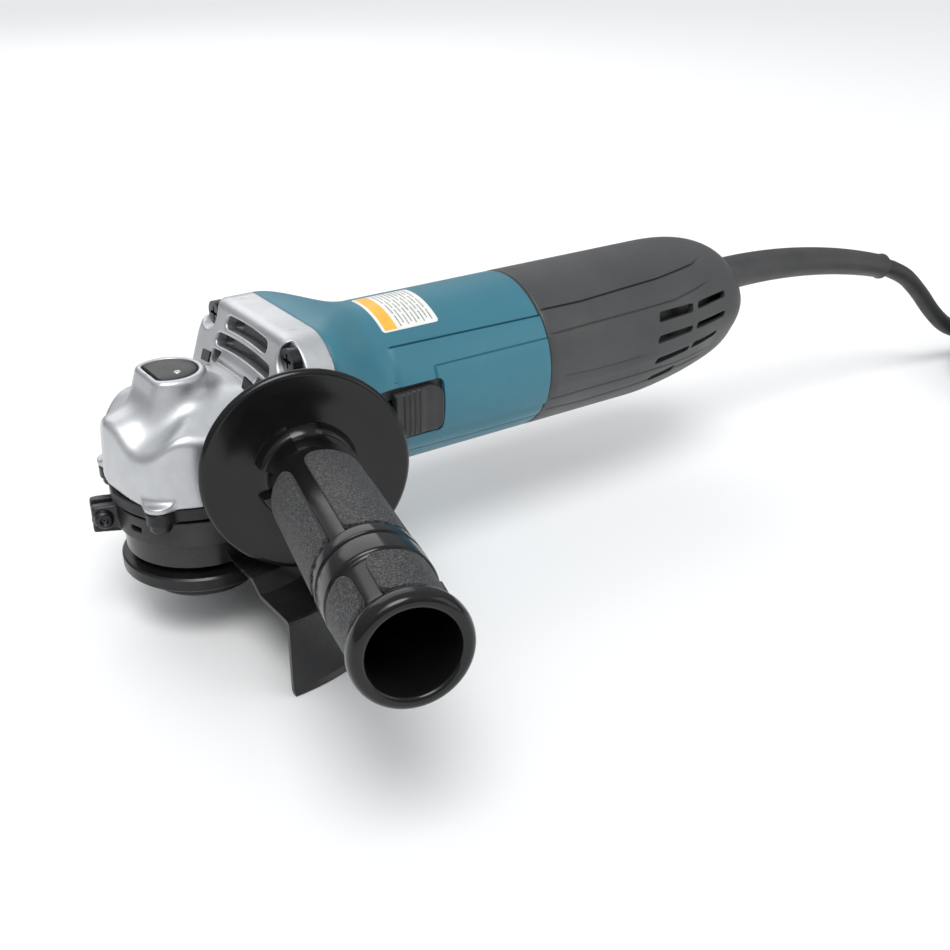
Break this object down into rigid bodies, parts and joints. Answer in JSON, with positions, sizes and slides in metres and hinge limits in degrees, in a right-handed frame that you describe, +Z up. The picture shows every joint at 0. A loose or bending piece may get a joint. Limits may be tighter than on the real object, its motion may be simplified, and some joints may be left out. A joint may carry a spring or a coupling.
{
  "type": "angle grinder",
  "caption": "Corded small angle grinder: cast gear head with a locked spindle, half wheel guard, slide switch, forward-set side handle and a coiled mains cord",
  "frame": {"origin": "centre of the wheel seat, where the inner flange meets the wheel, on the spindle axis", "axes": "+X runs back along the motor to the cord, +Y is the side away from the fitted side handle, +Z runs up the spindle towards the motor axis"},
  "size_m": [0.5268, 0.2169, 0.0988],
  "materials": {
    "cast_aluminium": "die-cast, satin",
    "machined_aluminium": "machined",
    "black_screw": "black oxide",
    "bearing_steel": "ground",
    "sintered_bush": "sintered, oil filled",
    "steel": "turned",
    "black_steel": "black painted",
    "guard_paint": "black powder coat, semi-gloss",
    "band_steel": "black, satin",
    "seal_rubber": "matt",
    "gear_steel": "hardened, oiled",
    "black_plastic": "satin",
    "gloss_black": "gloss",
    "knob_plastic": "satin",
    "spring_steel": "drawn wire",
    "core_steel": "laminated",
    "copper": "enamelled copper wire",
    "commutator_copper": "copper bars",
    "brass": "stamped",
    "carbon": "pressed carbon",
    "fan_plastic": "glass filled",
    "blue_plastic": "moulded nylon, satin",
    "dark_plastic": "moulded nylon, satin",
    "label": "printed film, left plain",
    "yellow_film": "potted capacitor",
    "pad_rubber": "stippled",
    "guard_rubber": "matt",
    "cord_rubber": "satin",
    "pin_brass": "plated blades"
  },
  "bodies": {
    "housing": {"gear_housing": "cast_aluminium", "gear_housing_screws": "black_screw", "bearing_box": "machined_aluminium", "bearing_box_screws": "black_screw", "upper_bearing": "sintered_bush", "lower_bearing": "bearing_steel", "bearing_retainer": "steel", "dust_seal": "seal_rubber", "lock_spring": "spring_steel", "front_bearing": "bearing_steel", "rear_bearing": "bearing_steel", "bearing_sleeve": "seal_rubber", "stator_core": "core_steel", "field_coils": "copper", "stator_screws": "steel", "air_baffle": "black_plastic", "motor_housing": "blue_plastic", "name_plate": "label", "brush_holders": "brass", "carbon_brushes": "carbon", "brush_springs": "spring_steel", "rear_cover": "dark_plastic", "rear_cover_screws": "black_screw", "switch_spring": "spring_steel", "switch_body": "black_plastic", "suppressor": "yellow_film", "handle_core": "gloss_black", "handle_pads": "pad_rubber", "handle_stud": "steel", "cord_guard": "guard_rubber", "cord_clamp": "black_plastic", "cord_clamp_screws": "steel", "cord": "cord_rubber", "cord_coil": "cord_rubber", "coil_tie": "black_plastic", "plug_body": "cord_rubber", "plug_pins": "pin_brass"},
    "armature": {"motor_shaft": "steel", "armature_core": "core_steel", "armature_windings": "copper", "commutator": "commutator_copper", "fan": "fan_plastic", "pinion": "gear_steel", "pinion_nut": "steel"},
    "output": {"spindle": "steel", "bevel_gear": "gear_steel", "gear_clip": "steel", "inner_flange": "black_steel", "lock_nut": "black_steel"},
    "switch_slide": {"switch_knob": "knob_plastic", "switch_lever": "black_plastic"},
    "shaft_lock": {"lock_button": "black_plastic", "lock_pin": "steel"},
    "guard": {"wheel_guard": "guard_paint", "guard_band": "band_steel", "guard_screw": "black_screw"}
  },
  "joints": [
    {"name": "armature_spin", "type": "hinge", "parent": "housing", "child": "armature", "pos_m": [0, 0, 0.046], "axis": [1, 0, 0], "continuous": true},
    {"name": "spindle_spin", "type": "hinge", "parent": "housing", "child": "output", "pos_m": [0, 0, 0], "axis": [0, 0, 1], "continuous": true},
    {"name": "switch_travel", "type": "slide", "parent": "housing", "child": "switch_slide", "axis": [-1, 0, 0], "range_m": [0, 0.006], "stiffness_N_per_m": 500, "springref_m": -0.002, "deforming": ["switch_spring"]},
    {"name": "shaft_lock_press", "type": "slide", "parent": "housing", "child": "shaft_lock", "axis": [0, 0, -1], "range_m": [0, 0.003], "stiffness_N_per_m": 800, "springref_m": -0.0015, "deforming": ["lock_spring"]},
    {"name": "guard_turn", "type": "hinge", "parent": "housing", "child": "guard", "pos_m": [0, 0, 0], "axis": [0, 0, 1], "range_deg": [-60, 80]}
  ],
  "couplings": [
    {"joint": "spindle_spin", "follows": "armature_spin", "ratio": 0.26316}
  ]
}
